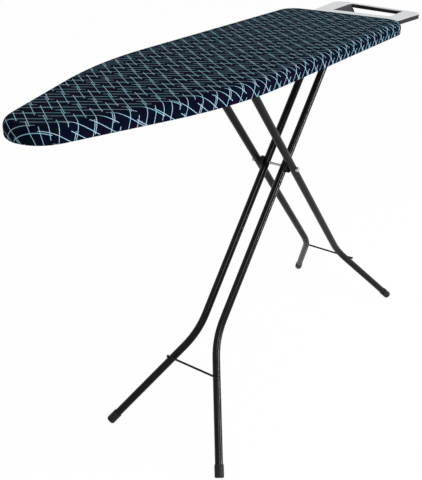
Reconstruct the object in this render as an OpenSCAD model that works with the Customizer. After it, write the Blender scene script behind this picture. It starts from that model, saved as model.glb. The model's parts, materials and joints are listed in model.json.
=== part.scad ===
// Folding ironing board: a padded, cloth-covered board with an iron rest, on two
// splayed tube leg frames that cross at a scissor pivot.
//
// Frame: +X runs from the nose to the iron rest, +Y to the left, +Z up. The origin is
// on the floor, under the middle of the overall length. Millimetres.
//
// How it folds: the inner leg frame hangs on the hinge rod, which is fixed in the rails.
// The outer leg frame crosses it at the pivot rod and ends in the slide rod, which runs
// along the slots of the rails. Both arms from pivot to top rod are equally long, so the
// slide rod stays level with the hinge rod at every height.

/* [Board] */
// Length of the covered board
board_l = 1086; // [870:1:1380]
// Width of the covered board
board_w = 334; // [265:1:420]
// Height of the ironing surface above the floor
work_height = 857; // [690:1:1060]
// Radius of the nose
nose_r = 63; // [50:1:78]
// Angle of each tapered side to the length
taper_angle = 19.5; // [16:0.5:23]
// Radius of the shoulders, between taper and straight side
shoulder_r = 790; // [640:10:960]
// Radius of the two rear corners
corner_r = 53; // [42:1:66]

/* [Cover and pad] */
// Thickness of the cloth cover
cover_t = 1.2; // [0.8:0.1:2]
// Thickness of the foam pad
pad_t = 4.8; // [3:0.1:8]
// Width of the hem turned in under the rim
hem_w = 18; // [12:1:26]
// Thickness of the elastic in the hem
elastic_t = 1.5; // [1:0.1:1.8]
// Width of the elastic in the hem
elastic_w = 4; // [3:0.5:6]

/* [Panel, rim and braces] */
// Thickness of the perforated steel panel
panel_t = 1; // [0.8:0.1:1.5]
// Height of the rim strip
rim_h = 20; // [16:1:26]
// Thickness of the rim strip
rim_t = 1.5; // [1:0.1:2.5]
// Diameter of the steam holes
steam_d = 8; // [4:0.5:12]
// Spacing of the steam holes along and across the board
steam_pitch = 34; // [26:1:44]
// Width of each cross brace
brace_w = 20; // [16:1:26]
// Wall of the braces
brace_t = 1.5; // [1:0.1:2.5]
// Distance from the nose to the front brace
front_brace_at = 134; // [116:1:140]

/* [Rails] */
// Gap between the ends of the pivot rod and the rails, when folded
rail_gap = 1; // [0.6:0.1:2]
// Width of the rail flanges
rail_w = 15; // [12:0.5:18]
// Height of the rails
rail_h = 27; // [25:0.5:30]
// Wall of the rails
rail_t = 1.5; // [1:0.1:2]

/* [Leg frames] */
// Angle of the legs to the floor when the board stands
leg_angle = 49.85; // [44:0.05:56]
// Angle of the legs to the board when it is folded flat
folded_angle = 2; // [2:0.5:4]
// Distance from the scissor pivot to each top rod
leg_arm = 373.5; // [340:0.5:390]
// Depth of the two top rods below the ironing surface
axis_drop = 20; // [20:0.1:21]
// Distance from the rear edge of the board to the hinge rod
hinge_from_end = 79; // [70:1:90]
// Outside diameter of the leg tubes
tube_d = 18; // [16:0.1:18]
// Wall of the leg tubes
tube_wall = 1.2; // [0.9:0.1:1.5]
// Radius of the bends, to the tube's middle line
bend_r = 200; // [120:5:240]
// Distance from the middle plane to each inner tube
inner_y = 24.5; // [22:0.1:24.5]
// Distance from the middle plane to each outer tube
outer_y = 48.6; // [48.6:0.1:50]
// Angle that the inner tubes splay out at their bend
inner_splay = 26; // [20:0.5:30]
// Angle that the outer tubes splay out at their bend
outer_splay = 23.1; // [18:0.1:28]
// Length of leg, along its middle line, below the inner bend
inner_splay_run = 272; // [220:1:320]
// Length of leg, along its middle line, below the outer bend
outer_splay_run = 250; // [220:1:320]
// Distance of the inner cross bar below its bend
inner_bar_drop = 80; // [60:1:100]
// Distance of the outer cross bar below its bend
outer_bar_drop = 53; // [50:1:80]
// Diameter of the cross bars
bar_d = 5; // [4:0.5:8]

/* [Rods and feet] */
// Diameter of the hinge rod and the slide rod
rod_d = 8; // [6:0.5:8]
// Diameter of the pivot rod
pivot_d = 6; // [5:0.5:8]
// Diameter of the plastic spacers at the pivot
spacer_d = 26; // [20:0.5:32]
// Diameter of the plastic feet
foot_d = 21; // [20:0.5:25]
// Length of the plastic feet
foot_l = 28; // [20:1:40]
// Rounding of the end of the feet
foot_round = 3.5; // [2:0.5:5]
// Thickness of the end of the feet, under the tube
foot_floor = 4; // [3:0.5:6]

/* [Iron rest] */
// Gap between the board's rear edge and the rest
rest_gap = 3; // [2:0.5:6]
// Length of the rest at its middle
rest_l = 207; // [170:1:240]
// Half width of the rest beside the board
rest_half_w = 116; // [100:1:125]
// How much each side moves out per unit of length
rest_flare = 0.09; // [0:0.01:0.12]
// How much the end slants: length gained per unit of width towards +Y
rest_slant = 0.17; // [0:0.01:0.2]
// Depth of the rest's top below the ironing surface
rest_drop = 14; // [13:0.5:15]
// Thickness of the rest's top plate and of its frame
rest_t = 1.5; // [1:0.1:2]
// Height of the black skirt under the plate
rest_skirt_h = 9; // [6:0.5:9]
// Radius of the outer corners of the rest
rest_corner_r = 26; // [16:1:32]
// Distance from the front of the rest to its hole
rest_hole_from = 90; // [70:1:110]
// Half width of the hole
rest_hole_half_w = 82; // [70:1:86]
// Width of the bar behind the hole
rest_end_bar = 13; // [10:0.5:16]

/* [Height catch] */
// Thickness of the notched rack
rack_t = 3; // [2:0.5:4]
// Height of the notched rack
rack_h = 11; // [9:0.5:12]
// Spacing of the height notches
notch_pitch = 24; // [18:1:30]
// Number of height notches
notch_count = 7; // [4:1:8]
// Distance from the rack's pin to the release lever, towards the nose
lever_l = 58; // [50:1:64]
// Diameter of the release lever
lever_d = 6; // [5:0.5:7]

/* [Clearances] */
// Radial clearance of a rod in its hole
bore_gap = 0.05; // [0.03:0.01:0.1]
// Clearance between faces that slide past each other
slide_gap = 0.3; // [0.2:0.05:0.4]

/* [Hidden] */
$fn = 64;
eps = 1;
arc_step = 5;
arc_chord = 25;

// Heights, from the ironing surface down
pad_top_z = work_height - cover_t;
panel_top_z = pad_top_z - pad_t;
panel_z = panel_top_z - panel_t;
rim_z = panel_z - rim_h;
hem_z = rim_z - cover_t;
axis_z = work_height - axis_drop;
rest_z = work_height - rest_drop;
brace_z = rim_z + elastic_t + slide_gap + 0.2;
rail_z = panel_z - rail_h;

// Corners of the iron rest on side +1 or -1, measured from the middle of its front edge
// and moved in by inset
function rest_front_corner(side, inset) =
    [inset, side * (rest_half_w - inset * norm([1, rest_flare]) + rest_flare * inset)];
function rest_end_corner(side, inset) =
    let (
        reach = rest_l - inset * norm([1, rest_slant]),
        y = side * (rest_half_w - inset * norm([1, rest_flare]) + rest_flare * reach)
            / (1 - side * rest_flare * rest_slant)
    )
    [reach + rest_slant * y, y];

// Places along the length; the rest reaches furthest at its rounded left corner
overall_l = board_l + rest_gap + rest_end_corner(1, rest_corner_r).x + rest_corner_r;
nose_x = -overall_l / 2;
board_end_x = nose_x + board_l;
rest_x = board_end_x + rest_gap;
hinge_x = board_end_x - hinge_from_end;
slide_x = hinge_x - 2 * leg_arm * cos(leg_angle);
folded_slide_x = hinge_x - 2 * leg_arm * cos(folded_angle);
front_brace_x = nose_x + front_brace_at;
rear_brace_x = board_end_x - hem_w - brace_w - 2;

rest_hole_r = 6;

// Insets of the board's layers from the edge of the cover
rim_inset = 3;
pad_inset = 6;

// Radii
tube_r = tube_d / 2;
tube_in_r = tube_r - tube_wall;
rod_r = rod_d / 2;
pivot_r = pivot_d / 2;
bar_r = bar_d / 2;
foot_r = foot_d / 2;

// The tubes stop just past their top rod, and a plug closes them
tube_top = rod_r + 1.5;
plug_cap_t = 1;
plug_l = rod_r + 4;

// Slot and glide: the glide's body runs in the slot, between its two flanges
glide_r = 6;
glide_flange_r = 8;
glide_flange_t = 1.2;
slot_r = glide_r + slide_gap / 2;
slot_end_wall = 6;
rail_x = folded_slide_x - slot_r - slot_end_wall;

// The rails stand just outside the ends of the pivot rod, which folds up between them
pivot_cap_l = 5;
pivot_cap_floor = 1.5;
pivot_end = outer_y + tube_r + slide_gap;
rail_y = pivot_end + pivot_cap_l + rail_gap;

// A foot rests on the lowest point of its rounded end
function foot_center_z(splay) =
    (foot_r - foot_round) * sqrt(1 - pow(cos(splay) * sin(leg_angle), 2)) + foot_round;
function bend_at(splay, run) = (axis_z - foot_center_z(splay)) / sin(leg_angle) - run;

// Rear brace screws and the arms of the iron rest
arm_y = 46;
arm_w = 20;
arm_t = 3;
screw_r = 2.5;
screw_head_r = 4.5;
screw_head_h = 2.5;
screw_l = 14;

// Height catch
notch_r = rod_r + 0.4;
notch_depth = 2.8;
rack_top_z = axis_z - rod_r - 0.4;
rack_pin_r = 3;
rack_pin_x = rail_x - 6;
rack_pin_z = rack_top_z - rack_h / 2;
rack_end = 9;
rack_tail = 18;
ear_gap = 0.5;
ear_t = 1.5;
ear_half_l = 12;
ear_y = rack_t / 2 + ear_gap;
lever_x = rack_pin_x - lever_l;
lever_y = 62;
grip_l = 28;
grip_w = 24;
grip_h = 12;
wire_r = 0.8;
coil_r = rack_pin_r + 0.5 + wire_r;
coil_count = 4;
coil_y = ear_y + ear_t + slide_gap + wire_r;
spring_leg_l = 26;
leg_wire_r = 0.7;

// ---------- outlines ----------

function unit(v) = v / norm(v);
function wrap(a) = a > 180 ? a - 360 : a < -180 ? a + 360 : a;

// Points along an arc about c, from angle a0 through turn degrees
function arc(c, r, a0, turn) =
    let (n = max(2, ceil(abs(turn) / arc_step), ceil(r * abs(turn) * PI / 180 / arc_chord)))
    [for (i = [0:n]) c + r * [cos(a0 + turn * i / n), sin(a0 + turn * i / n)]];

// Arc that rounds the corner p between its neighbours a and b
function corner(a, p, b, r) =
    let (
        u = unit(a - p),
        v = unit(b - p),
        half = acos(u * v) / 2,
        c = p + unit(u + v) * r / sin(half),
        s = p + u * r / tan(half) - c,
        e = p + v * r / tan(half) - c,
        a0 = atan2(s.y, s.x)
    )
    arc(c, r, a0, wrap(atan2(e.y, e.x) - a0));

function rounded(points, r) =
    let (n = len(points))
    [for (i = [0:n - 1]) each corner(points[(i + n - 1) % n], points[i], points[(i + 1) % n], r)];

function mirrored(points) = [for (i = [len(points) - 1:-1:0]) [points[i].x, -points[i].y]];

nose_c = [nose_x + nose_r, 0];
shoulder_x = nose_c.x
    + (cos(taper_angle) * (board_w / 2 - shoulder_r) + shoulder_r - nose_r) / sin(taper_angle);
shoulder_c = [shoulder_x, board_w / 2 - shoulder_r];
rear_c = [board_end_x - corner_r, board_w / 2 - corner_r];

// Left half of the board's outline, moved in by inset
function board_half(inset) = concat(
    arc(nose_c, nose_r - inset, 180, taper_angle - 90),
    arc(shoulder_c, shoulder_r - inset, 90 + taper_angle, -taper_angle),
    arc(rear_c, corner_r - inset, 90, -90)
);
function board_outline(inset) = concat(board_half(inset), mirrored(board_half(inset)));

module board_slab(inset, z0, z1) {
    translate([0, 0, z0])
        linear_extrude(z1 - z0)
            polygon(board_outline(inset));
}

function rest_outline(inset) = rounded([
    [rest_x, 0] + rest_front_corner(1, inset), [rest_x, 0] + rest_end_corner(1, inset),
    [rest_x, 0] + rest_end_corner(-1, inset), [rest_x, 0] + rest_front_corner(-1, inset)
], rest_corner_r - inset);

function rest_hole_end(y) =
    rest_x + rest_l - rest_end_bar * sqrt(1 + rest_slant * rest_slant) + rest_slant * y;
rest_hole_x = rest_x + rest_hole_from;

function rest_hole() = rounded([
    [rest_hole_x, rest_hole_half_w],
    [rest_hole_end(rest_hole_half_w), rest_hole_half_w],
    [rest_hole_end(-rest_hole_half_w), -rest_hole_half_w],
    [rest_hole_x, -rest_hole_half_w]
], rest_hole_r);

// ---------- small shapes ----------

module rod_y(r, y0, y1) {
    translate([0, y0, 0])
        rotate([-90, 0, 0])
            cylinder(r = r, h = y1 - y0);
}

// Its seam faces -Y, as a bend's does, so that a tube's rings line up where they meet
module rod_x(r, x0, x1) {
    translate([x0, 0, 0])
        rotate([0, 90, 0])
            rotate([0, 0, -90])
                cylinder(r = r, h = x1 - x0);
}

module left_and_right() {
    children();
    mirror([0, 1, 0]) children();
}

// ---------- board ----------

// True where a steam hole keeps clear of the rim, the rails and the braces
function steam_fits(x, y) =
    let (
        margin = rim_inset + rim_t + steam_d / 2 + 4,
        n = [-sin(taper_angle), cos(taper_angle)],
        off_rail = abs(abs(y) - rail_y - rail_w / 2) > (rail_w + steam_d) / 2,
        off_front = abs(x - front_brace_x - brace_w / 2) > (brace_w + steam_d) / 2,
        off_rear = x < rear_brace_x - steam_d / 2
    )
    off_front && off_rear && (off_rail || x < rail_x - steam_d)
    && abs(y) < board_w / 2 - margin
    && n * ([x, abs(y)] - nose_c) < nose_r - margin
    && (x > nose_c.x || norm([x, y] - nose_c) < nose_r - margin)
    && (x < rear_c.x || abs(y) < rear_c.y || norm([x, abs(y)] - rear_c) < corner_r - margin);

steam_rows = floor(board_w / 2 / steam_pitch);
steam_columns = floor(board_l / steam_pitch);

module steel_panel() {
    color("#b9bcc0")
        translate([0, 0, panel_z])
            linear_extrude(panel_t)
                difference() {
                    polygon(board_outline(rim_inset));
                    for (row = [-steam_rows:steam_rows], column = [0:steam_columns]) {
                        x = nose_x + (column + 0.5 + 0.5 * (abs(row) % 2)) * steam_pitch;
                        y = row * steam_pitch;
                        if (steam_fits(x, y))
                            translate([x, y]) circle(d = steam_d, $fn = 16);
                    }
                }
}

module edge_rim() {
    color("#2a2c30")
        difference() {
            board_slab(rim_inset, rim_z, panel_z);
            board_slab(rim_inset + rim_t, rim_z - eps, panel_z + eps);
        }
}

module foam_pad() {
    color("#d9d6cc") board_slab(pad_inset, panel_top_z, pad_top_z);
}

module fabric_cover() {
    color("#141a2c")
        difference() {
            board_slab(0, hem_z, work_height);
            board_slab(cover_t, rim_z, pad_top_z);
            board_slab(hem_w, hem_z - eps, rim_z + eps);
        }
}

module hem_elastic() {
    color("#e8e8e8")
        difference() {
            board_slab(hem_w - elastic_w - 1, rim_z, rim_z + elastic_t);
            board_slab(hem_w - 1, rim_z - eps, rim_z + elastic_t + eps);
        }
}

// Upward-opening channel from rim to rim, welded under the panel
module brace(x) {
    color("#2a2c30")
        intersection() {
            difference() {
                translate([x, -board_w / 2, brace_z])
                    cube([brace_w, board_w, panel_z - brace_z]);
                translate([x + brace_t, -board_w / 2 - eps, brace_z + brace_t])
                    cube([brace_w - 2 * brace_t, board_w + 2 * eps, panel_z - brace_z]);
                left_and_right()
                    translate([x + brace_w / 2, arm_y, brace_z - eps])
                        cylinder(r = screw_r + bore_gap, h = brace_t + 2 * eps);
            }
            board_slab(rim_inset + rim_t, brace_z - eps, panel_z + eps);
        }
}

module front_brace() brace(front_brace_x);
module rear_brace() brace(rear_brace_x);

// C-shaped rail with the slot for the slide rod and the hole for the hinge rod
module rail() {
    rail_l = rear_brace_x - rail_x;
    slot_l = slide_x - folded_slide_x;
    color("#2a2c30")
        difference() {
            translate([rail_x, rail_y, rail_z]) cube([rail_l, rail_w, rail_h]);
            translate([rail_x - eps, rail_y + rail_t, rail_z + rail_t])
                cube([rail_l + 2 * eps, rail_w, rail_h - 2 * rail_t]);
            translate([folded_slide_x, rail_y - eps, axis_z - slot_r])
                cube([slot_l, rail_t + 2 * eps, 2 * slot_r]);
            for (x = [folded_slide_x, slide_x])
                translate([x, 0, axis_z]) rod_y(slot_r, rail_y - eps, rail_y + rail_t + eps);
            translate([hinge_x, 0, axis_z])
                rod_y(rod_r + bore_gap, rail_y - eps, rail_y + rail_t + eps);
        }
}

module rail_left() rail();
module rail_right() mirror([0, 1, 0]) rail();

// ---------- iron rest ----------

module rest_plate() {
    color("#c9ccd0")
        translate([0, 0, rest_z - rest_t])
            linear_extrude(rest_t)
                difference() {
                    polygon(rest_outline(0));
                    polygon(rest_hole());
                }
}

// Wall with tapered ends, hanging from z = 0 along +Y
module tapered_wall(l, h) {
    rotate([90, 0, 90])
        linear_extrude(rest_t)
            polygon([[-l / 2, 0], [l / 2, 0], [l / 2 - h, -h], [h - l / 2, -h]]);
}

rest_wall_h = 8;
rest_flange_w = 28;
rest_flange_tilt = 30;

// Sloping flange along the left side of the hole, cut at 45 degrees at both ends
module rest_side_flange(side) {
    l = rest_hole_end(side * rest_hole_half_w) - rest_hole_x;
    top = rest_z - rest_t * (1 + sin(rest_flange_tilt) + cos(rest_flange_tilt));
    translate([rest_hole_x, side * rest_hole_half_w, top])
        mirror([0, side < 0 ? 1 : 0, 0])
            rotate([rest_flange_tilt, 0, 0])
                translate([0, -rest_flange_w, 0])
                    linear_extrude(rest_t)
                        polygon([
                            [0, rest_flange_w + rest_t], [l, rest_flange_w + rest_t], [l, rest_flange_w],
                            [l - rest_flange_w, 0], [rest_flange_w, 0], [0, rest_flange_w]
                        ]);
}

// Joggled arm: up against the rear brace, down under the hem, up to the rest
module rest_arm() {
    frame_z = rest_z - rest_t;
    hem_x = board_end_x - hem_w;
    down_z = hem_z - slide_gap;
    back_x = rest_x + rest_t;
    translate([0, arm_y + arm_w / 2, 0])
        rotate([90, 0, 0])
            linear_extrude(arm_w)
                polygon([
                    [rear_brace_x, brace_z], [hem_x - 4, brace_z], [hem_x - 1, down_z],
                    [back_x, down_z], [back_x, frame_z - rest_t / 2], [back_x + arm_t, frame_z - rest_t / 2],
                    [back_x + arm_t, down_z - arm_t], [hem_x - 2, down_z - arm_t],
                    [hem_x - 5, brace_z - arm_t], [rear_brace_x, brace_z - arm_t]
                ]);
}

module rest_frame() {
    top_z = rest_z - rest_t;
    color("#15161a")
        difference() {
            union() {
                difference() {
                    translate([0, 0, top_z - rest_t - rest_skirt_h])
                        linear_extrude(rest_skirt_h + rest_t) polygon(rest_outline(0));
                    translate([0, 0, top_z - rest_t - rest_skirt_h - eps])
                        linear_extrude(rest_skirt_h + eps) polygon(rest_outline(rest_t));
                    translate([0, 0, top_z - rest_t - eps])
                        linear_extrude(rest_t + 2 * eps) polygon(rest_hole());
                }
                translate([rest_hole_end(0), 0, top_z - rest_t / 2])
                    rotate([0, 0, -atan(rest_slant)])
                        tapered_wall(2 * rest_hole_half_w, rest_wall_h);
                translate([rest_hole_x - rest_t, 0, top_z - rest_t / 2])
                    tapered_wall(2 * rest_hole_half_w, rest_wall_h);
                rest_side_flange(1);
                rest_side_flange(-1);
                left_and_right() rest_arm();
            }
            left_and_right()
                translate([rear_brace_x + brace_w / 2, arm_y, brace_z - arm_t - eps])
                    cylinder(r = screw_r + bore_gap, h = arm_t + 2 * eps);
        }
}

module rest_screws() {
    color("#8d9094")
        left_and_right()
            translate([rear_brace_x + brace_w / 2, arm_y, brace_z - arm_t]) {
                translate([0, 0, -screw_head_h]) cylinder(r = screw_head_r, h = screw_head_h);
                cylinder(r = screw_r, h = screw_l);
            }
}

// ---------- hinge rod ----------

cap_t = 2.5;
cap_over = 4;

module hinge_rod() {
    color("#9a9da1")
        translate([hinge_x, 0, axis_z])
            rod_y(rod_r, -rail_y - rail_t - cap_over, rail_y + rail_t + cap_over);
}

module hinge_rod_caps() {
    color("#15161a")
        left_and_right()
            translate([hinge_x, 0, axis_z])
                difference() {
                    rod_y(rod_r + 3.5, rail_y + rail_t, rail_y + rail_t + cap_t);
                    rod_y(rod_r + bore_gap, rail_y - eps, rail_y + rail_t + cap_t + eps);
                }
}

module spacer_tube(y0, y1) {
    difference() {
        rod_y(rod_r + 2, y0, y1);
        rod_y(rod_r + bore_gap, y0 - eps, y1 + eps);
    }
}

module hinge_spacers() {
    inside = inner_y - tube_r - slide_gap;
    outside = inner_y + tube_r + slide_gap;
    color("#15161a")
        translate([hinge_x, 0, axis_z]) {
            spacer_tube(-inside, inside);
            left_and_right() spacer_tube(outside, rail_y);
        }
}

// ---------- leg frames ----------

// Leg coordinates: +X down the leg from its top rod, +Y left, +Z to its upper face
module inner_leg() {
    translate([hinge_x, 0, axis_z])
        mirror([1, 0, 0])
            rotate([0, leg_angle, 0])
                children();
}

module outer_leg() {
    translate([slide_x, 0, axis_z])
        rotate([0, leg_angle, 0])
            children();
}

inner_bend = bend_at(inner_splay, inner_splay_run);
outer_bend = bend_at(outer_splay, outer_splay_run);

// Moves to the bend and turns +X down the splayed part
module splayed(y, bend, splay) {
    translate([bend, y, 0])
        rotate([0, 0, splay])
            children();
}

// The bend is a hair thinner than the straights, and its ends are tucked inside them
bend_thin = 0.02;
tuck = 0.1;

// Solid bar of radius r along a leg tube's middle line, longer by over at both ends
module tube_line(r, y, bend, splay, run, over) {
    setback = bend_r * tan(splay / 2);
    foot_at = run / cos(splay) + foot_round - foot_floor;
    translate([0, y, 0]) rod_x(r, -tube_top - over, bend - setback);
    translate([bend - setback, y + bend_r, 0])
        rotate([0, 0, -90 - tuck])
            rotate_extrude(angle = splay + 2 * tuck, $fn = 180)
                translate([bend_r, 0]) circle(r - bend_thin);
    splayed(y, bend, splay) rod_x(r, setback, foot_at + over);
}

module leg_tube(y, bend, splay, run) {
    difference() {
        tube_line(tube_r, y, bend, splay, run, 0);
        tube_line(tube_in_r, y, bend, splay, run, eps);
        translate([0, y, 0]) rod_y(rod_r + bore_gap, -tube_d, tube_d);
        translate([leg_arm, y, 0]) rod_y(pivot_r + bore_gap, -tube_d, tube_d);
    }
}

module inner_tube() {
    color("#0c0d10") leg_tube(inner_y, inner_bend, inner_splay, inner_splay_run);
}

module outer_tube() {
    color("#17181d") leg_tube(outer_y, outer_bend, outer_splay, outer_splay_run);
}

module inner_tube_left() inner_leg() inner_tube();
module inner_tube_right() inner_leg() mirror([0, 1, 0]) inner_tube();
module outer_tube_left() outer_leg() outer_tube();
module outer_tube_right() outer_leg() mirror([0, 1, 0]) outer_tube();

// Bar across both splayed tubes, seated a little into a cope over each
module crossbar(y, bend, splay, drop) {
    seat = 0.4;
    half_l = y + drop * tan(splay) + tube_r;
    color("#0c0d10")
        difference() {
            translate([bend + drop, 0, tube_r + bar_r - seat]) rod_y(bar_r, -half_l, half_l);
            left_and_right() splayed(y, bend, splay) rod_x(tube_r, 0, 2 * drop + half_l);
        }
}

module inner_crossbar() inner_leg() crossbar(inner_y, inner_bend, inner_splay, inner_bar_drop);
module outer_crossbar() outer_leg() crossbar(outer_y, outer_bend, outer_splay, outer_bar_drop);

// Plug in the top of each tube, bored for the top rod
module top_plug(y) {
    color("#15161a")
        translate([0, y, 0])
            difference() {
                union() {
                    rod_x(tube_r, -tube_top - plug_cap_t, -tube_top);
                    rod_x(tube_in_r - bore_gap, -tube_top - plug_cap_t, plug_l);
                }
                rod_y(rod_r + bore_gap, -tube_d, tube_d);
            }
}

module inner_top_plugs() inner_leg() left_and_right() top_plug(inner_y);
module outer_top_plugs() outer_leg() left_and_right() top_plug(outer_y);

// Cap over the end of a tube, with a rounded floor edge
module foot(y, bend, splay, run) {
    color("#101114")
        splayed(y, bend, splay)
            translate([run / cos(splay) + foot_round, 0, 0])
                rotate([0, -90, 0])
                    rotate_extrude()
                        difference() {
                            union() {
                                square([foot_r - foot_round, foot_l]);
                                translate([0, foot_round]) square([foot_r, foot_l - foot_round]);
                                translate([foot_r - foot_round, foot_round]) circle(foot_round);
                            }
                            translate([0, foot_floor]) square([tube_r + bore_gap, foot_l]);
                        }
}

module inner_foot() foot(inner_y, inner_bend, inner_splay, inner_splay_run);
module outer_foot() foot(outer_y, outer_bend, outer_splay, outer_splay_run);
module inner_foot_left() inner_leg() inner_foot();
module inner_foot_right() inner_leg() mirror([0, 1, 0]) inner_foot();
module outer_foot_left() outer_leg() outer_foot();
module outer_foot_right() outer_leg() mirror([0, 1, 0]) outer_foot();

// ---------- scissor pivot ----------

module pivot_rod() {
    end = pivot_end + pivot_cap_l - pivot_cap_floor;
    color("#9a9da1")
        inner_leg()
            translate([leg_arm, 0, 0]) rod_y(pivot_r, -end, end);
}

// Push-on cap, closed at its outer end
module pivot_caps() {
    color("#c4c6c9")
        inner_leg()
            left_and_right()
                translate([leg_arm, 0, 0])
                    difference() {
                        rod_y(pivot_r + 2.5, pivot_end, pivot_end + pivot_cap_l);
                        rod_y(pivot_r + bore_gap, pivot_end - eps, pivot_end + pivot_cap_l - pivot_cap_floor);
                    }
}

// Spacer with a saddle around the inner tube and a flat face to the outer tube
module pivot_spacer() {
    color("#101114")
        translate([leg_arm, 0, 0])
            difference() {
                rod_y(spacer_d / 2, inner_y + tube_r - 4.5, outer_y - tube_r - slide_gap);
                translate([0, inner_y, 0]) rod_x(tube_r + bore_gap, -spacer_d, spacer_d);
                rod_y(pivot_r + bore_gap, inner_y, outer_y);
            }
}

module pivot_spacer_left() inner_leg() pivot_spacer();
module pivot_spacer_right() inner_leg() mirror([0, 1, 0]) pivot_spacer();

// ---------- slide rod ----------

glide_in_y = rail_y - slide_gap - glide_flange_t;
glide_out_y = rail_y + rail_t + slide_gap + glide_flange_t;

module slide_rod() {
    color("#9a9da1")
        outer_leg() rod_y(rod_r, -glide_out_y - 1, glide_out_y + 1);
}

module slide_glide() {
    color("#e4e4e0")
        difference() {
            union() {
                rod_y(glide_r, glide_in_y, glide_out_y);
                rod_y(glide_flange_r, glide_in_y, glide_in_y + glide_flange_t);
                rod_y(glide_flange_r, glide_out_y - glide_flange_t, glide_out_y);
            }
            rod_y(rod_r + bore_gap, glide_in_y - eps, glide_out_y + eps);
        }
}

module slide_glide_left() outer_leg() slide_glide();
module slide_glide_right() outer_leg() mirror([0, 1, 0]) slide_glide();

// ---------- height catch ----------

module rack_plate() {
    color("#8d9094")
        difference() {
            translate([lever_x - rack_end, -rack_t / 2, rack_top_z - rack_h])
                cube([slide_x + rack_tail - lever_x + rack_end, rack_t, rack_h]);
            for (i = [0:notch_count - 1])
                translate([slide_x - i * notch_pitch, 0, rack_top_z - notch_depth + notch_r])
                    rod_y(notch_r, -rack_t, rack_t);
            translate([rack_pin_x, 0, rack_pin_z]) rod_y(rack_pin_r + bore_gap, -rack_t, rack_t);
            translate([lever_x, 0, rack_pin_z]) rod_y(lever_d / 2 + bore_gap, -rack_t, rack_t);
        }
}

// Two ears under the panel that carry the rack's pin
module rack_bracket() {
    ear_h = panel_z - rack_pin_z + rack_h / 2;
    color("#2a2c30")
        translate([rack_pin_x, 0, 0])
            difference() {
                union() {
                    translate([-ear_half_l, -ear_y - ear_t, panel_z - brace_t])
                        cube([2 * ear_half_l, 2 * (ear_y + ear_t), brace_t]);
                    left_and_right()
                        translate([-ear_half_l, ear_y, panel_z - ear_h]) cube([2 * ear_half_l, ear_t, ear_h]);
                }
                translate([0, 0, rack_pin_z])
                    rod_y(rack_pin_r + bore_gap, -ear_y - ear_t - eps, ear_y + ear_t + eps);
            }
}

spring_end_y = coil_y + (coil_count - 1) * 2 * wire_r + wire_r + slide_gap;

module rack_pin() {
    head_t = 1.5;
    color("#9a9da1")
        translate([rack_pin_x, 0, rack_pin_z]) {
            rod_y(rack_pin_r, -ear_y - ear_t, spring_end_y + head_t);
            rod_y(rack_pin_r + 1.5, -ear_y - ear_t - head_t, -ear_y - ear_t);
            rod_y(rack_pin_r + 1.5, spring_end_y, spring_end_y + head_t);
        }
}

// Torsion spring: close coils on the pin, one leg hooked under the rack, one up to the panel
module rack_spring() {
    pitch = 2 * wire_r - 0.1;
    last_y = coil_y + (coil_count - 1) * pitch;
    span = norm([spring_leg_l, coil_r]);
    hook_h = rack_h / 2 + leg_wire_r;
    hook_x = sqrt(span * span - hook_h * hook_h);
    dip = asin(hook_h / span) - atan(coil_r / spring_leg_l);
    color("#b7babd")
        translate([rack_pin_x, 0, rack_pin_z]) {
            translate([0, coil_y, 0])
                rotate([-90, 0, 0])
                    rotate_extrude()
                        for (i = [0:coil_count - 1]) translate([coil_r, i * pitch]) circle(wire_r, $fn = 32);
            rotate([0, dip, 0])
                translate([0, coil_y, -coil_r]) rod_x(leg_wire_r, 0, spring_leg_l);
            translate([hook_x, 0, -hook_h]) rod_y(leg_wire_r, -rack_t / 2, coil_y + leg_wire_r);
            translate([coil_r, last_y, 0])
                cylinder(r = leg_wire_r, h = panel_z - slide_gap - rack_pin_z);
        }
}

module lever_arm() {
    color("#9a9da1")
        translate([lever_x, 0, rack_pin_z]) rod_y(lever_d / 2, -lever_y - grip_l / 2 + 4, rack_t / 2 + 5);
}

module lever_grip() {
    color("#15161a")
        translate([lever_x, -lever_y, rack_pin_z])
            difference() {
                translate([-grip_w / 2, -grip_l / 2, -grip_h / 2]) cube([grip_w, grip_l, grip_h]);
                rod_y(lever_d / 2 + bore_gap, -grip_l / 2 + 4 - 0.5, grip_l);
            }
}

// ---------- nodes ----------

steel_panel();
edge_rim();
foam_pad();
fabric_cover();
hem_elastic();
front_brace();
rear_brace();
rail_left();
rail_right();
rest_plate();
rest_frame();
rest_screws();
hinge_rod();
hinge_rod_caps();
hinge_spacers();
rack_bracket();
rack_pin();
inner_tube_left();
inner_tube_right();
inner_crossbar();
inner_top_plugs();
inner_foot_left();
inner_foot_right();
pivot_rod();
pivot_caps();
pivot_spacer_left();
pivot_spacer_right();
outer_tube_left();
outer_tube_right();
outer_crossbar();
outer_top_plugs();
outer_foot_left();
outer_foot_right();
slide_rod();
slide_glide_left();
slide_glide_right();
rack_plate();
rack_spring();
lever_arm();
lever_grip();
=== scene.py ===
# %% [markdown]
# # A folding ironing board
#
# The steel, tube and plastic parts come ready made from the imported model. Blender adds
# what CAD can't: the stretched and printed cover, the felted foam pad, the elastic and
# stitches in the hem, the weld beads, and a finish for every piece.

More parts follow.
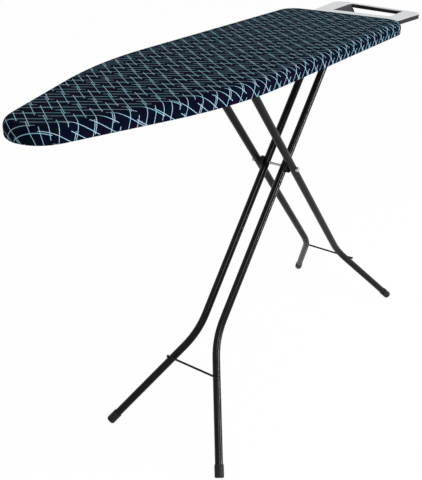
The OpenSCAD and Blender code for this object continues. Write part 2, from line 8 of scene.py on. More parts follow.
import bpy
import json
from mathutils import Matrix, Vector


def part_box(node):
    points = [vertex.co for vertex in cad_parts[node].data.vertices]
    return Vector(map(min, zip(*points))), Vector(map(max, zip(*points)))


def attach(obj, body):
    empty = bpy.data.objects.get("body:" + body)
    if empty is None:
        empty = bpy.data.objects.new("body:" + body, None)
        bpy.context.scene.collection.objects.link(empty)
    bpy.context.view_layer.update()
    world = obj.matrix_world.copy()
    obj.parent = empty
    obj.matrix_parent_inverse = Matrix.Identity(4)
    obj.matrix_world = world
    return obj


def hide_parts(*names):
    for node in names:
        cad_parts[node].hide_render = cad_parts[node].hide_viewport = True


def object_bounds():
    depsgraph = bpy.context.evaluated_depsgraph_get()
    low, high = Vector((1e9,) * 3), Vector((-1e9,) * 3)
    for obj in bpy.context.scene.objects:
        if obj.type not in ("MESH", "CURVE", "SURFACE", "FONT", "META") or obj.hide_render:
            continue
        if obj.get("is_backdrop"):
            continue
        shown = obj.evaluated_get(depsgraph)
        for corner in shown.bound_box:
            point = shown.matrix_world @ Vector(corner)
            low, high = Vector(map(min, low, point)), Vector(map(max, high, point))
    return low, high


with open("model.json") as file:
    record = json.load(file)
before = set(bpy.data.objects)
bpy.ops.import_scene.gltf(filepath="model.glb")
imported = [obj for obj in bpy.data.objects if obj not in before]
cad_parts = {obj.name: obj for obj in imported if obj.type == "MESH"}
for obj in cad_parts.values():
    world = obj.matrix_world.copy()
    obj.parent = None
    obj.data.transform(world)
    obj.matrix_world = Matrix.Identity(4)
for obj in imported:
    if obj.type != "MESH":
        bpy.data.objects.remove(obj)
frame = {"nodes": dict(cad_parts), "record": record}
cad_low, cad_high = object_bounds()
print("CAD box", [round(x, 4) for x in (*cad_low, *cad_high)])

# %% Tools and units
import json
import math

import bmesh
import bpy
from mathutils import Euler, Matrix, Vector, kdtree, noise

MM = 0.001
scene = bpy.context.scene
nodes = frame["nodes"]

# %% [markdown]
# ## The camera
#
# The board is seen from in front of its nose, a little to its right and from above. A
# camera's direction can be typed in as angles or found with a tracking constraint.
# Angles are used, because a level horizon then needs only one small roll.

# %% Place the camera
CAMERA_AT = (-1.3110, -0.8082, 1.1921)
LOOKS_DOWN = math.radians(27.49)
TURNED_RIGHT = math.radians(54.96)
ROLLED = 0.0025
LENS_MM = 54.4

camera = bpy.data.objects.new("camera", bpy.data.cameras.new("camera"))
scene.collection.objects.link(camera)
camera.location = CAMERA_AT
turned = Euler((math.pi / 2 - LOOKS_DOWN, 0, -TURNED_RIGHT), "XYZ").to_matrix()
rolled = Matrix.Rotation(ROLLED, 3, "Z")
camera.rotation_euler = (turned @ rolled).to_euler()
camera.data.lens = LENS_MM
scene.camera = camera
scene.view_settings.view_transform = "Standard"
print("camera", tuple(camera.location))

# %% [markdown]
# ## A few words for building node trees
#
# Materials are networks of small nodes. Three helpers keep them readable: one adds a
# node with its values, one makes a reusable group with named sockets, and one does a
# sum. A group is built once, and each material then places it with its own values.

# %% Node helpers
def add(tree, kind, values=None, **settings):
    """A new node; values fill its inputs, and an output socket is linked."""
    node = tree.nodes.new(kind)
    for key, value in settings.items():
        setattr(node, key, value)
    for key, value in (values or {}).items():
        if isinstance(value, bpy.types.NodeSocket):
            tree.links.new(value, node.inputs[key])
        else:
            node.inputs[key].default_value = value
    return node


def sum_of(tree, operation, *values, clamp=False):
    """The result of a Math node."""
    node = add(tree, "ShaderNodeMath", dict(enumerate(values)), operation=operation)
    node.use_clamp = clamp
    return node.outputs[0]


def blend_of(tree, share, a, b):
    """Colour a where share is 0 and colour b where it is 1."""
    node = add(tree, "ShaderNodeMix", data_type="RGBA")
    sockets = [s for s in node.inputs if s.enabled]
    for socket, value in zip(sockets, (share, a, b)):
        if isinstance(value, bpy.types.NodeSocket):
            tree.links.new(value, socket)
        else:
            socket.default_value = value
    return [s for s in node.outputs if s.enabled][0]


def group(name, inputs, outputs):
    """An empty node group; returns its tree, its input sockets and its output node."""
    tree = bpy.data.node_groups.new(name, "ShaderNodeTree")
    for key, default in inputs.items():
        kind = "NodeSocketVector" if default is None else "NodeSocketFloat"
        socket = tree.interface.new_socket(key, in_out="INPUT", socket_type=kind)
        if default is not None:
            socket.default_value = default
    for key in outputs:
        tree.interface.new_socket(key, in_out="OUTPUT", socket_type="NodeSocketFloat")
    return tree, tree.nodes.new("NodeGroupInput").outputs, tree.nodes.new("NodeGroupOutput")


def use(tree, name, values):
    """Places a group in a tree and returns its outputs."""
    node = tree.nodes.new("ShaderNodeGroup")
    node.node_tree = bpy.data.node_groups[name]
    for key, value in values.items():
        if isinstance(value, bpy.types.NodeSocket):
            tree.links.new(value, node.inputs[key])
        else:
            node.inputs[key].default_value = value
    return node.outputs


print("helpers ready")

# %% [markdown]
# ## Shared surface effects
#
# Paint, plating, plastic and cloth each break up light in their own way. *Mottle* is a
# slow change over centimetres, from uneven spraying and handling. *Fine grain* is the
# pebbling of powder coat or a moulded texture. *Weave* is threads going over and under
# each other. Noise textures make the first two; the weave is a sum of sines.

# %% Mottle: slow unevenness with scattered rubbed spots
tree, at, out = group("Mottle", {"Vector": None, "Size": 0.03, "Spots": 0.1}, ["Slow", "Rub"])
scale = sum_of(tree, "DIVIDE", 1.0, at["Size"])
slow = add(tree, "ShaderNodeTexNoise", {"Vector": at["Vector"], "Scale": scale, "Detail": 3.0})
fine = add(
    tree,
    "ShaderNodeTexNoise",
    {"Vector": at["Vector"], "Scale": sum_of(tree, "MULTIPLY", scale, 9.0), "Detail": 6.0,
     "Roughness": 0.7},
)
tree.links.new(slow.outputs["Fac"], out.inputs["Slow"])
rub = sum_of(tree, "GREATER_THAN", sum_of(tree, "MULTIPLY", slow.outputs["Fac"],
                                          fine.outputs["Fac"]), 0.42)
tree.links.new(sum_of(tree, "MULTIPLY", rub, at["Spots"]), out.inputs["Rub"])

# %% Fine grain: pebbled surface height
tree, at, out = group("Fine grain", {"Vector": None, "Size": 0.0008}, ["Height"])
cells = add(
    tree,
    "ShaderNodeTexVoronoi",
    {"Vector": at["Vector"], "Scale": sum_of(tree, "DIVIDE", 1.0, at["Size"])},
    feature="SMOOTH_F1",
)
tree.links.new(cells.outputs["Distance"], out.inputs["Height"])

# %% Weave: plain over-and-under threads
tree, at, out = group("Weave", {"Vector": None, "Thread": 0.0006}, ["Height", "Shade"])
parts = add(tree, "ShaderNodeSeparateXYZ", {0: at["Vector"]}).outputs
turns = sum_of(tree, "DIVIDE", math.pi, at["Thread"])
warp = sum_of(tree, "SINE", sum_of(tree, "MULTIPLY", parts[0], turns))
weft = sum_of(tree, "SINE", sum_of(tree, "MULTIPLY", parts[1], turns))
crossing = sum_of(tree, "MULTIPLY", warp, weft)
fibre = add(
    tree,
    "ShaderNodeTexNoise",
    {"Vector": at["Vector"], "Scale": sum_of(tree, "DIVIDE", 0.8, at["Thread"]), "Detail": 2.0},
)
tree.links.new(
    sum_of(tree, "MULTIPLY_ADD", fibre.outputs["Fac"], 0.8, crossing), out.inputs["Height"]
)
# Shade is painted shade: darker where the threads dip under each other, mixed with a random
# fibre tone.
tree.links.new(
    sum_of(tree, "MULTIPLY_ADD", crossing, 0.25, fibre.outputs["Fac"]), out.inputs["Shade"]
)
print("effects", [g.name for g in bpy.data.node_groups])

# %% [markdown]
# ## The print on the cover
#
# The cotton is printed with thin pale strokes that lean both ways, a loose herringbone.
# Each stroke repeats on a grid of cells. A texture image could hold one cell, but it
# would blur up close. Here one small group measures how far a point is from the nearest
# copy of a stroke: a modulo folds the point into one row of cells, a shear stands the
# stroke upright, and Ping-Pong gives the distance to the nearest column.

# %% One family of parallel strokes
CELL = (35.5 * MM, 71.3 * MM)
LEAN = 1 / math.tan(math.radians(55))
STROKE_RISE = 60 * MM
STROKE_W = 1.0 * MM
PAIR_GAP = 3.6 * MM
PAIR_RISE = 20 * MM

tree, at, out = group(
    "Stroke", {"Vector": None, "Start X": 0.0, "Start Y": 0.0, "Lean": LEAN}, ["Mask"]
)
x, y, _ = add(tree, "ShaderNodeSeparateXYZ", {0: at["Vector"]}).outputs
up = sum_of(tree, "FLOORED_MODULO", sum_of(tree, "SUBTRACT", y, at["Start Y"]), CELL[1])
leaning = sum_of(tree, "MULTIPLY", up, at["Lean"])
beside = sum_of(tree, "SUBTRACT", sum_of(tree, "SUBTRACT", x, at["Start X"]), leaning)
away = sum_of(tree, "PINGPONG", beside, CELL[0] / 2)
half_w = STROKE_W / 2 / math.sin(math.radians(55))
edge = add(
    tree,
    "ShaderNodeMapRange",
    {"Value": away, "From Min": half_w * 0.7, "From Max": half_w * 1.3, "To Min": 1.0,
     "To Max": 0.0},
)
on_stroke = sum_of(tree, "LESS_THAN", up, STROKE_RISE)
tree.links.new(sum_of(tree, "MULTIPLY", edge.outputs[0], on_stroke), out.inputs["Mask"])

# %% The four families together
half_gap, low, high = PAIR_GAP / 2, -STROKE_RISE + PAIR_RISE / 2, -PAIR_RISE / 2
middle = CELL[1] / 2
STROKES = [
    (-half_gap + low * LEAN, low, LEAN),
    (half_gap + high * LEAN, high, LEAN),
    (-half_gap - high * LEAN, middle + high, -LEAN),
    (half_gap - low * LEAN, middle + low, -LEAN),
]
tree, at, out = group("Print", {"Vector": None}, ["Mask"])
mask = None
for start_x, start_y, lean in STROKES:
    one = use(tree, "Stroke", {"Vector": at["Vector"], "Start X": start_x, "Start Y": start_y,
                               "Lean": lean})["Mask"]
    mask = one if mask is None else sum_of(tree, "MAXIMUM", mask, one)
tree.links.new(mask, out.inputs["Mask"])
print("print strokes", len(STROKES))

# %% [markdown]
# ## Finishes
#
# Every finish starts the same way: a Principled BSDF, a place to read the surface from,
# and an optional bump. The plain numbers of a finish, such as its sheen or coat, sit on
# the shader itself; only what varies over the surface comes through nodes.

# %% Start a finish
def finish(name, coords="Object", **plain):
    """A new material with a Principled BSDF; returns it, its tree, shader and coordinates."""
    material = bpy.data.materials.new(name)
    material.use_nodes = True
    tree = material.node_tree
    shader = tree.nodes["Principled BSDF"]
    for key, value in plain.items():
        shader.inputs[key.replace("_", " ")].default_value = value
    return material, tree, shader, tree.nodes.new("ShaderNodeTexCoord").outputs[coords]


def bump(tree, shader, height, depth, strength=1.0):
    """Feeds a height, in units of depth metres, to the shader's normal."""
    node = add(tree, "ShaderNodeBump", {"Height": height, "Distance": depth,
                                        "Strength": strength})
    tree.links.new(node.outputs["Normal"], shader.inputs["Normal"])


def spread(tree, value, low, high):
    """Stretches a 0.3 to 0.7 noise onto low to high."""
    node = add(tree, "ShaderNodeMapRange", {"Value": value, "From Min": 0.3, "From Max": 0.7,
                                            "To Min": low, "To Max": high})
    return node.outputs[0]


# %% [markdown]
# ### Printed cotton
#
# Woven cotton looks dark and matt head on, and its raised fibres catch light at a
# glancing angle, which is what Sheen does. The ground isn't one navy: it drifts towards
# plum and bottle green. The strokes drift from pale teal to blue-grey, and the weave
# shows in them a little as painted shade between the threads.

# %% Cover cloth
NAVY, PLUM = (0.0010, 0.0020, 0.0105, 1), (0.0045, 0.0018, 0.0100, 1)
BOTTLE = (0.0010, 0.0050, 0.0085, 1)
TEAL, MIST = (0.20, 0.52, 0.60, 1), (0.38, 0.50, 0.62, 1)
PRINT_FROM = (-0.5324, 0.0597, 0)

cloth, tree, shader, at = finish("Printed cotton", "UV", Sheen_Weight=0.004,
                                 Sheen_Roughness=0.5, Specular_IOR_Level=0.005)
placed = add(tree, "ShaderNodeVectorMath", {0: at, 1: PRINT_FROM}, operation="SUBTRACT")
print_mask = use(tree, "Print", {"Vector": placed.outputs[0]})["Mask"]
weave = use(tree, "Weave", {"Vector": at, "Thread": 0.55 * MM})
drift = add(tree, "ShaderNodeTexNoise", {"Vector": at, "Scale": 38.0, "Detail": 1.0})
drift_2 = add(tree, "ShaderNodeTexNoise", {"Vector": at, "Scale": 61.0, "Detail": 0.0})
ground = blend_of(tree, spread(tree, drift.outputs["Fac"], 0, 1), NAVY, PLUM)
ground = blend_of(tree, spread(tree, drift_2.outputs["Fac"], -0.6, 1), ground, BOTTLE)
ink = blend_of(tree, spread(tree, drift_2.outputs["Fac"], 0, 1), TEAL, MIST)
# The strokes fade a little into the ground where the weave's painted shade falls between
# threads.
ink_dimmed_by_weave_shade = sum_of(tree, "MULTIPLY", print_mask,
                      add(tree, "ShaderNodeMapRange",
                          {"Value": weave["Shade"], "To Min": 0.78, "To Max": 1.0}).outputs[0])
tree.links.new(blend_of(tree, ink_dimmed_by_weave_shade, ground, ink), shader.inputs["Base Color"])
tree.links.new(spread(tree, drift.outputs["Fac"], 0.78, 0.92), shader.inputs["Roughness"])
bump(tree, shader, weave["Height"], 0.06 * MM, 0.5)

# %% [markdown]
# ### Foam, elastic and thread
#
# The pad is thin foam with a felted face, so it gets a soft, hairy bump. The elastic is
# ribbed across its width, and the thread is plain twisted polyester.

# %% Pad, elastic and thread
foam, tree, shader, at = finish("Felted foam", Sheen_Weight=0.3, Sheen_Roughness=0.6)
mottle = use(tree, "Mottle", {"Vector": at, "Size": 0.02, "Spots": 0.0})
grain = use(tree, "Fine grain", {"Vector": at, "Size": 1.1 * MM})
tree.links.new(blend_of(tree, mottle["Slow"], (0.66, 0.63, 0.56, 1), (0.80, 0.77, 0.70, 1)),
               shader.inputs["Base Color"])
tree.links.new(spread(tree, mottle["Slow"], 0.85, 0.95), shader.inputs["Roughness"])
bump(tree, shader, grain["Height"], 0.4 * MM)

elastic, tree, shader, at = finish("Woven elastic", "UV", Sheen_Weight=0.2)
weave = use(tree, "Weave", {"Vector": at, "Thread": 0.9 * MM})
# The elastic's grey darkens between its threads as painted shade, mixed with a random fibre
# tone.
tree.links.new(blend_of(tree, weave["Shade"], (0.50, 0.50, 0.50, 1), (0.80, 0.80, 0.79, 1)),
               shader.inputs["Base Color"])
tree.links.new(spread(tree, weave["Shade"], 0.65, 0.85), shader.inputs["Roughness"])
bump(tree, shader, weave["Height"], 0.15 * MM)

thread, tree, shader, at = finish("Hem thread", Sheen_Weight=0.1)
weave = use(tree, "Weave", {"Vector": at, "Thread": 0.3 * MM})
# The thread's navy darkens between its fibres as painted shade, mixed with a random fibre tone.
tree.links.new(blend_of(tree, weave["Shade"], (0.010, 0.013, 0.035, 1),
                        (0.030, 0.038, 0.080, 1)), shader.inputs["Base Color"])
tree.links.new(spread(tree, weave["Shade"], 0.5, 0.7), shader.inputs["Roughness"])
bump(tree, shader, weave["Height"], 0.05 * MM)

# %% [markdown]
# ### Paint, metal and plastic
#
# One function makes all the hard finishes, because they differ only in numbers: two
# colours to drift between, a range of roughness, the size and depth of their grain, and
# how much of the surface is rubbed to another colour.

# %% Hard finishes
def hard(name, dark, light, rough, grain_mm, depth_mm, rubbed=None, spots=0.0,
         patch=0.03, stretch=(1, 1, 1), **plain):
    """A painted, plated or moulded finish."""
    material, tree, shader, at = finish(name, **plain)
    place = add(tree, "ShaderNodeMapping", {"Vector": at, "Scale": stretch}).outputs[0]
    mottle = use(tree, "Mottle", {"Vector": place, "Size": patch, "Spots": spots})
    grain = use(tree, "Fine grain", {"Vector": place, "Size": grain_mm * MM})
    colour = blend_of(tree, mottle["Slow"], (*dark, 1), (*light, 1))
    if rubbed:
        colour = blend_of(tree, mottle["Rub"], colour, (*rubbed, 1))
    tree.links.new(colour, shader.inputs["Base Color"])
    rough_at = spread(tree, mottle["Slow"], *rough)
    tree.links.new(sum_of(tree, "ADD", rough_at, mottle["Rub"]), shader.inputs["Roughness"])
    bump(tree, shader, grain["Height"], depth_mm * MM, 0.6)
    return material


FINISHES = {
    "black_gloss": hard("Gloss black enamel", (0.0015, 0.0015, 0.0025), (0.003, 0.003, 0.0045),
                        (0.13, 0.18), 6.0, 0.006, (0.012, 0.012, 0.014), 0.08,
                        Specular_IOR_Level=0.13),
    "black_paint": hard("Satin black powder coat", (0.004, 0.004, 0.006),
                        (0.008, 0.008, 0.011), (0.30, 0.38), 0.9, 0.012,
                        (0.02, 0.02, 0.022), 0.10, Specular_IOR_Level=0.10),
    "silver_paint": hard("Satin silver coat", (0.50, 0.52, 0.54), (0.62, 0.64, 0.66),
                         (0.28, 0.36), 0.5, 0.008, (0.42, 0.43, 0.44), 0.1, Metallic=0.75),
    "bare_steel": hard("Rolled steel sheet", (0.40, 0.41, 0.43), (0.56, 0.57, 0.59),
                       (0.30, 0.45), 0.7, 0.012, (0.30, 0.30, 0.31), 0.15,
                       stretch=(0.15, 1, 1), Metallic=1.0),
    "zinc": hard("Zinc plate", (0.36, 0.37, 0.39), (0.56, 0.57, 0.58), (0.28, 0.42), 1.2,
                 0.02, (0.26, 0.26, 0.25), 0.2, patch=0.008, Metallic=1.0),
    "black_plastic": hard("Moulded black plastic", (0.006, 0.006, 0.007),
                          (0.011, 0.011, 0.012), (0.45, 0.60), 0.6, 0.04,
                          (0.03, 0.03, 0.03), 0.15, Specular_IOR_Level=0.15),
    "white_plastic": hard("Natural nylon", (0.62, 0.62, 0.58), (0.76, 0.76, 0.73),
                          (0.38, 0.50), 0.6, 0.03, (0.5, 0.49, 0.45), 0.1,
                          Subsurface_Weight=0.1),
    "cover_cloth": cloth,
    "pad_foam": foam,
    "elastic": elastic,
}

# %% Paint the CAD nodes
slot_of = {part["node"]: part["material_slot"] for part in frame["record"]["subparts"]}
for name, slot in slot_of.items():
    nodes[name].data.materials.clear()
    nodes[name].data.materials.append(FINISHES[slot])
print("slots in use", sorted(set(slot_of.values())))

# %% [markdown]
# ### Softened edges
#
# Pressed sheet and moulded plastic never have knife edges; each edge carries a thin line
# of light. A Bevel modifier rounds them. The CAD meshes are loose triangles, so a Weld
# modifier joins them first. The meshes themselves stay as they are.

# %% Round the edges of pressed and moulded pieces
ROUNDED = {
    "rest_plate": 0.5, "rest_frame": 0.35, "front_brace": 0.4, "rear_brace": 0.4,
    "rail_left": 0.4, "rail_right": 0.4, "rack_plate": 0.4, "rack_bracket": 0.3,
    "lever_grip": 0.9,
}
for name, radius in ROUNDED.items():
    o = nodes[name]
    weld = o.modifiers.new("Weld", "WELD")
    weld.merge_threshold = 0.01 * MM
    bevel = o.modifiers.new("Bevel", "BEVEL")
    bevel.width, bevel.segments, bevel.limit_method = radius * MM, 2, "ANGLE"
    bevel.angle_limit = math.radians(40)
    bevel.use_clamp_overlap = True
    bevel.harden_normals = True
print("rounded", len(ROUNDED), "pieces")

# %% [markdown]
# ## The outline of the board
#
# Cover, pad and elastic all follow the same outline. Drawing it again would mean
# repeating the CAD's sizes. Cutting a copy of the CAD cover at mid height and keeping
# only the cut gives the outline itself. Long edges are split and corners relaxed, so the
# cloth has even columns to bend along.

# %% Cut the outline out of a copy of the CAD cover
COLUMN = 6 * MM


def outline_face(height):
    """A bmesh that holds the board's outer outline as one face at this height."""
    bm = bmesh.new()
    bm.from_mesh(nodes["fabric_cover"].data)
    bmesh.ops.remove_doubles(bm, verts=bm.verts, dist=0.005 * MM)
    bmesh.ops.bisect_plane(
        bm, geom=bm.verts[:] + bm.edges[:] + bm.faces[:], dist=1e-7,
        plane_co=(0, 0, 840 * MM), plane_no=(0, 0, 1), clear_outer=True, clear_inner=True,
    )
    bmesh.ops.remove_doubles(bm, verts=bm.verts, dist=0.01 * MM)
    start = min(bm.verts, key=lambda v: v.co.x)
    loop, front = {start}, [start]
    while front:
        for e in front.pop().link_edges:
            for v in e.verts:
                if v not in loop:
                    loop.add(v)
                    front.append(v)
    bmesh.ops.delete(bm, geom=[v for v in bm.verts if v not in loop], context="VERTS")
    for e in sorted(bm.edges, key=lambda e: -e.calc_length()):
        cuts = math.ceil(e.calc_length() / COLUMN) - 1
        if cuts > 0:
            bmesh.ops.subdivide_edges(bm, edges=[e], cuts=cuts)
    for _ in range(4):
        bmesh.ops.smooth_vert(bm, verts=bm.verts, factor=0.5, use_axis_x=True,
                              use_axis_y=True, use_axis_z=False)
    for v in bm.verts:
        v.co.z = height
    face = bmesh.ops.contextual_create(bm, geom=bm.edges)["faces"][0]
    face.normal_update()
    if face.normal.z < 0:
        face.normal_flip()
    return bm, face


bm, face = outline_face(0)
rim = [v.co.copy() for v in face.verts]
OUT = []
tree_of_rim = kdtree.KDTree(len(rim))
for i, co in enumerate(rim):
    along = (rim[(i + 1) % len(rim)] - rim[i - 1]).normalized()
    OUT.append(Vector((along.y, -along.x, 0)))
    tree_of_rim.insert(co, i)
tree_of_rim.balance()
bm.free()
print("outline", len(rim), "points")


def outward(co):
    """The outline's outward direction nearest to a point, eased between columns."""
    near = tree_of_rim.find_n((co.x, co.y, 0), 3)
    total = Vector()
    for _, i, far in near:
        total += OUT[i] / (far + 1 * MM)
    return total.normalized()


# %% [markdown]
# ## The cover
#
# The cover is one sheet of cotton, pulled over the pad and drawn in under the rim by its
# elastic. A cloth simulation could drape it, but a taut cover hardly moves, and its
# print has to run on unbroken from the top down the side. So it is built in rings, like
# a lid: the outline is pushed up into a wall, and insets turn it over a soft edge. The
# same rings turn it in under the rim. Each ring remembers how much further the cloth has
# travelled than the plan view shows, and that distance gives the print its place.

# %% Sizes of the cover
COVER_T = 1.2 * MM
SOFT_R = 14 * MM
TURN_R = 2.5 * MM
HEM_W = 18 * MM
top_z, hem_z = cad_high.z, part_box("fabric_cover")[0].z
wall_low, wall_high = hem_z + TURN_R, top_z - SOFT_R


def lift(bm, face):
    """Extrudes a face in place and returns the new one; the old one stays below it."""
    made = bmesh.ops.extrude_face_region(bm, geom=[face], use_keep_orig=True)["geom"]
    return next(g for g in made if isinstance(g, bmesh.types.BMFace) and len(g.verts) > 4)


def rings_around(bm, face, layer, radius, steps, slip):
    """Insets a face round a quarter turn; every new ring stores its slip."""
    for k in range(steps):
        a, b = (math.radians(90) * (k + j) / steps for j in (0, 1))
        bmesh.ops.inset_region(
            bm, faces=[face], use_even_offset=True, use_boundary=True,
            thickness=radius * (math.cos(a) - math.cos(b)),
            depth=radius * (math.sin(b) - math.sin(a)),
        )
        for v in face.verts:
            v[layer] = slip(b)


# %% Build the cover in rings
bm, base = outline_face(wall_low)
slip = bm.verts.layers.float.new("slip")
WALL_ROWS = 5
wall = wall_high - wall_low
over_edge = SOFT_R * (math.pi / 2 - 1)
top = lift(bm, base)
for row in range(WALL_ROWS):
    if row:
        lifted = lift(bm, top)
        bmesh.ops.delete(bm, geom=[top], context="FACES_ONLY")
        top = lifted
    for v in top.verts:
        v.co.z = wall_low + wall * (row + 1) / WALL_ROWS
        v[slip] = over_edge + wall_high - v.co.z
for v in base.verts:
    v[slip] = over_edge + wall
base.normal_update()
if base.normal.z > 0:
    base.normal_flip()
top.normal_update()
if top.normal.z < 0:
    top.normal_flip()
rings_around(bm, top, slip, SOFT_R, 7,
             lambda turn: SOFT_R * (math.pi / 2 - turn - math.cos(turn)))
down = over_edge + wall
rings_around(bm, base, slip, TURN_R, 3,
             lambda turn: down + TURN_R * (turn + 1 - math.cos(turn)))
under = down + TURN_R * (math.pi / 2 + 1)
HEM_ROWS = 4
for row in range(HEM_ROWS):
    width = (HEM_W - TURN_R) / HEM_ROWS
    bmesh.ops.inset_region(bm, faces=[base], use_even_offset=True, use_boundary=True,
                           thickness=width)
    for v in base.verts:
        v[slip] = under + 2 * width * (row + 1)
bmesh.ops.delete(bm, geom=[base], context="FACES_ONLY")
for width in (4, 7, 10):
    bmesh.ops.inset_region(bm, faces=[top], use_even_offset=True, use_boundary=True,
                           thickness=width * MM)
    for v in top.verts:
        v[slip] = 0
print("cover rings", len(bm.faces), "faces")

# %% [markdown]
# The middle of the top is still one huge face. Slicing it with upright planes, like a
# baker's cutter, gives it an even grid that can carry soft dips in the padding.

# %% Slice the top into a grid
GRID = 14 * MM
middle_faces = [top]
for axis in (0, 1):
    normal = Vector((1, 0, 0)) if axis == 0 else Vector((0, 1, 0))
    low, high = (f(v.co[axis] for v in top.verts) for f in (min, max)) if axis == 0 else (
        min(v.co.y for f in middle_faces for v in f.verts),
        max(v.co.y for f in middle_faces for v in f.verts))
    count = math.ceil((high - low) / GRID)
    for k in range(1, count):
        place = normal * (low + (high - low) * k / count)
        edges = {e for f in middle_faces for e in f.edges}
        verts = {v for f in middle_faces for v in f.verts}
        made = bmesh.ops.bisect_plane(bm, geom=middle_faces + list(edges) + list(verts),
                                      plane_co=place, plane_no=normal, dist=1e-6)["geom"]
        middle_faces = list({f for f in middle_faces if f.is_valid}
                            | {f for f in made if isinstance(f, bmesh.types.BMFace)})
print("top grid", len(middle_faces), "faces")

# %% [markdown]
# Pulled elastic gathers the hem where the outline curves, so the puckers are deepest at
# the nose and the corners. Perlin noise, read along the edge, shifts the wall in and out
# and lets the hem sag; the top gets only broad dips of a third of a millimetre.

# %% Pucker the sides and settle the top
PUCKER, DIP, SAG = 0.9 * MM, 0.35 * MM, 0.22 * MM
uv_layer = bm.loops.layers.uv.new("UVMap")
flat_place = {v: (v.co.x, v.co.y, v[slip]) for v in bm.verts}
for v in bm.verts:
    moved = v[slip]
    if moved > 0:
        away = outward(v.co)
        tight = 0.35 + 0.65 * min(1, max(0, (abs(away.x) - 0.35) / 0.4))
        share = min(1, moved / (over_edge + wall)) ** 1.6
        ripple = noise.noise(Vector((v.co.x, v.co.y, 0)) / (11 * MM))
        ripple += 0.6 * noise.noise(Vector((v.co.x, v.co.y, 7 * MM)) / (5 * MM))
        lie = 1 if v.co.z > hem_z + TURN_R / 2 else 0.3
        v.co += away * (PUCKER * tight * share * lie * (ripple - 0.25))
        if v.co.z < hem_z + 0.5 * MM:
            v.co.z += SAG * tight * ripple
    elif v.co.z > top_z - 0.1 * MM:
        v.co.z += DIP * (noise.noise(v.co / (70 * MM)) - 0.6)
for f in bm.faces:
    f.smooth = True
    for corner in f.loops:
        x, y, moved = flat_place[corner.vert]
        away = outward(Vector((x, y, 0))) if moved else Vector()
        corner[uv_layer].uv = (x + away.x * moved, y + away.y * moved)


def piece(name, bm, body, material):
    """Turns a bmesh into a finished object that rides on a body."""
    mesh = bpy.data.meshes.new(name)
    bm.to_mesh(mesh)
    bm.free()
    mesh.materials.append(material)
    o = bpy.data.objects.new(name, mesh)
    scene.collection.objects.link(o)
    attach(o, body)
    return o


cover = piece("cover_cloth", bm, "board", cloth)
solid = cover.modifiers.new("Cloth thickness", "SOLIDIFY")
solid.thickness, solid.offset = COVER_T, -1
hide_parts("fabric_cover")
print("cover", len(cover.data.polygons), "faces")

# %% [markdown]
# ## The pad
#
# Under the cover lies a thin foam pad, cut to the outline. It needs no simulation,
# because the cover presses it flat; its cut edge is rounded over by the cloth.

# %% Build the pad
pad_low, pad_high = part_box("foam_pad")
PAD_INSET = pad_low.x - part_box("fabric_cover")[0].x
PAD_R = 3.4 * MM
bm, face = outline_face(pad_low.z)
made = bmesh.ops.inset_region(bm, faces=[face], use_even_offset=True, use_boundary=True,
                              thickness=PAD_INSET)["faces"]
bmesh.ops.delete(bm, geom=made, context="FACES")
top = lift(bm, face)
for v in top.verts:
    v.co.z = pad_high.z - PAD_R - 0.35 * MM
top.normal_update()
layer = bm.verts.layers.float.new("slip")
rings_around(bm, top, layer, PAD_R, 5, lambda turn: 0)
bmesh.ops.recalc_face_normals(bm, faces=bm.faces)
for f in bm.faces:
    f.smooth = len(f.verts) == 4
pad = piece("foam_padding", bm, "board", foam)
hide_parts("foam_pad")
print("pad", len(pad.data.polygons), "faces")

# %% [markdown]
# ## Elastic and stitches
#
# A narrow woven elastic runs in the hem, and a line of stitches closes its tunnel. The
# elastic is a flat ring from the outline. A stitch is a squashed low ball, repeated along
# the hem a little longer than the gap between stitches.

# %% Build the elastic
band_low, band_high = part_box("hem_elastic")
BAND_INSET = band_low.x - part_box("fabric_cover")[0].x
BAND_W = 4 * MM
bm, face = outline_face(band_low.z + 0.1 * MM)
made = bmesh.ops.inset_region(bm, faces=[face], use_even_offset=True, use_boundary=True,
                              thickness=BAND_INSET)["faces"]
bmesh.ops.delete(bm, geom=made, context="FACES")
bmesh.ops.inset_region(bm, faces=[face], use_even_offset=True, use_boundary=True,
                       thickness=BAND_W)
bmesh.ops.delete(bm, geom=[face], context="FACES_ONLY")
thick = band_high.z - band_low.z - 0.2 * MM
band = bm.faces[:]
grown = bmesh.ops.extrude_face_region(bm, geom=band, use_keep_orig=True)["geom"]
bmesh.ops.translate(bm, verts=[g for g in grown if isinstance(g, bmesh.types.BMVert)],
                    vec=(0, 0, thick))
bmesh.ops.recalc_face_normals(bm, faces=bm.faces)
uv_layer = bm.loops.layers.uv.new("UVMap")
for f in bm.faces:
    for corner in f.loops:
        corner[uv_layer].uv = corner.vert.co.xy
band = piece("hem_elastic_band", bm, "board", elastic)
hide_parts("hem_elastic")

# %% Sew the hem
STITCH_GAP, STITCH_L, STITCH_R, SEAM_INSET = 4.6 * MM, 3.4 * MM, 0.35 * MM, 11 * MM
bm = bmesh.new()
travelled, next_at, count = 0.0, 0.0, 0
for i, co in enumerate(rim):
    after = rim[(i + 1) % len(rim)]
    step = (after - co).length
    while next_at < travelled + step:
        share = (next_at - travelled) / step
        here = co.lerp(after, share) - OUT[i].lerp(OUT[(i + 1) % len(rim)], share) * SEAM_INSET
        heading = math.atan2(after.y - co.y, after.x - co.x)
        ball = bmesh.ops.create_icosphere(bm, subdivisions=1, radius=STITCH_R)["verts"]
        bmesh.ops.scale(bm, verts=ball, vec=(STITCH_L / 2 / STITCH_R, 1, 0.7))
        bmesh.ops.rotate(bm, verts=ball, cent=(0, 0, 0),
                         matrix=Euler((0, 0, heading)).to_matrix())
        bmesh.ops.translate(bm, verts=ball, vec=(here.x, here.y, hem_z - 0.02 * MM))
        next_at += STITCH_GAP
        count += 1
    travelled += step
for f in bm.faces:
    f.smooth = True
stitches = piece("hem_stitches", bm, "board", thread)
print("stitches", count)

# %% [markdown]
# ## Weld beads
#
# The cross bars are welded to the tubes, and each weld leaves a small uneven collar. Half
# a circle spun round makes the collar, and noise roughens it.

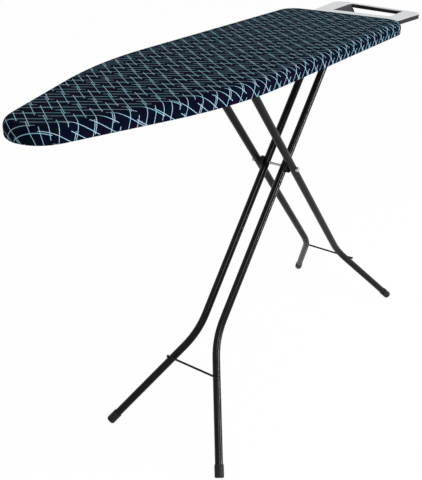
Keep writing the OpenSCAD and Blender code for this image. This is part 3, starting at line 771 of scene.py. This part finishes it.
# %% Build the weld beads
def weld_beads(name, bar, body):
    """A rough collar at both ends of a cross bar."""
    low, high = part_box(bar)
    radius = (high.x - low.x) / 2
    bm = bmesh.new()
    for side in (-1, 1):
        end = high.y - 1.5 * MM if side > 0 else low.y + 1.5 * MM
        middle = Vector(((low.x + high.x) / 2, end, (low.z + high.z) / 2))
        ring = bmesh.ops.create_circle(bm, segments=8, radius=1.3 * MM)["verts"]
        bmesh.ops.translate(bm, verts=ring, vec=(0, 0, radius))
        bmesh.ops.rotate(bm, verts=ring, cent=(0, 0, radius),
                         matrix=Euler((0, math.radians(90), 0)).to_matrix())
        edges = list({e for v in ring for e in v.link_edges})
        before = set(bm.verts)
        bmesh.ops.spin(bm, geom=ring + edges, cent=(0, 0, 0), axis=(0, 1, 0),
                       angle=math.radians(360), steps=20, use_merge=True)
        made = list((set(bm.verts) - before) | {v for v in ring if v.is_valid})
        bmesh.ops.translate(bm, verts=made, vec=middle)
    bmesh.ops.remove_doubles(bm, verts=bm.verts, dist=0.02 * MM)
    for v in bm.verts:
        v.co += v.normal * (0.3 * MM * noise.noise(v.co / (1.6 * MM)))
    bmesh.ops.recalc_face_normals(bm, faces=bm.faces)
    for f in bm.faces:
        f.smooth = True
    slot = slot_of[bar]
    return piece(name, bm, body, FINISHES[slot])


weld_beads("inner_weld_beads", "inner_crossbar", "inner_leg")
weld_beads("outer_weld_beads", "outer_crossbar", "outer_leg")

# %% [markdown]
# ## Floor and light
#
# A pale floor and a pale world give plain daylight. The camera, mirrors and gloss see
# the world as white, but the light it sheds is weaker, so colours come out as written.
# The floor is part white glow and part matt paint, which keeps a soft shadow.

# %% Floor
FLOOR_W = 40.0
bm = bmesh.new()
bmesh.ops.create_grid(bm, x_segments=1, y_segments=1, size=FLOOR_W / 2)
mesh = bpy.data.meshes.new("floor")
bm.to_mesh(mesh)
bm.free()
floor = bpy.data.objects.new("floor", mesh)
scene.collection.objects.link(floor)
floor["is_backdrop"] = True

paper = bpy.data.materials.new("Pale floor")
paper.use_nodes = True
tree = paper.node_tree
tree.nodes.clear()
ray = tree.nodes.new("ShaderNodeLightPath").outputs
seen = sum_of(tree, "MAXIMUM", ray["Is Camera Ray"], ray["Is Glossy Ray"])
matt = add(tree, "ShaderNodeBsdfDiffuse", {"Color": (0.86, 0.86, 0.86, 1)})
glow = add(tree, "ShaderNodeEmission", {"Strength": 1.0})
mixed = add(tree, "ShaderNodeMixShader",
            {0: sum_of(tree, "MULTIPLY", seen, 0.97), 1: matt.outputs[0], 2: glow.outputs[0]})
end = add(tree, "ShaderNodeOutputMaterial", {"Surface": mixed.outputs[0]})
floor.data.materials.append(paper)

# %% World
world = bpy.data.worlds.new("pale room")
scene.world = world
world.use_nodes = True
tree = world.node_tree
tree.nodes.clear()
ray = tree.nodes.new("ShaderNodeLightPath").outputs
seen = sum_of(tree, "MAXIMUM", ray["Is Camera Ray"], ray["Is Transmission Ray"])
lit = add(tree, "ShaderNodeBackground", {"Color": (1, 1, 1, 1), "Strength": 0.62})
shown = add(tree, "ShaderNodeBackground", {"Color": (1, 1, 1, 1), "Strength": 1.0})
mixed = add(tree, "ShaderNodeMixShader",
            {0: sum_of(tree, "MAXIMUM", seen, ray["Is Glossy Ray"]), 1: lit.outputs[0],
             2: shown.outputs[0]})
add(tree, "ShaderNodeOutputWorld", {"Surface": mixed.outputs[0]})

# %% Lamps
def lamp(name, at, aim, size, watts):
    """A soft rectangular lamp that points at a place."""
    light = bpy.data.lights.new(name, "AREA")
    light.shape, light.size, light.size_y, light.energy = "RECTANGLE", *size, watts
    o = bpy.data.objects.new(name, light)
    scene.collection.objects.link(o)
    o.location = at
    o.rotation_euler = (Vector(aim) - Vector(at)).to_track_quat("-Z", "Y").to_euler()
    return o


lamp("key", (-1.6, -2.4, 2.6), (0, 0, 0.6), (1.2, 1.2), 40)
lamp("strip", (0.9, -2.6, 1.2), (0.1, 0, 0.5), (0.10, 2.2), 90)
print("lamps placed")

# %% Print the visual box, to set beside the CAD box printed at the start
low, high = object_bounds()
print("visual box", [round(x, 4) for x in (*low, *high)])
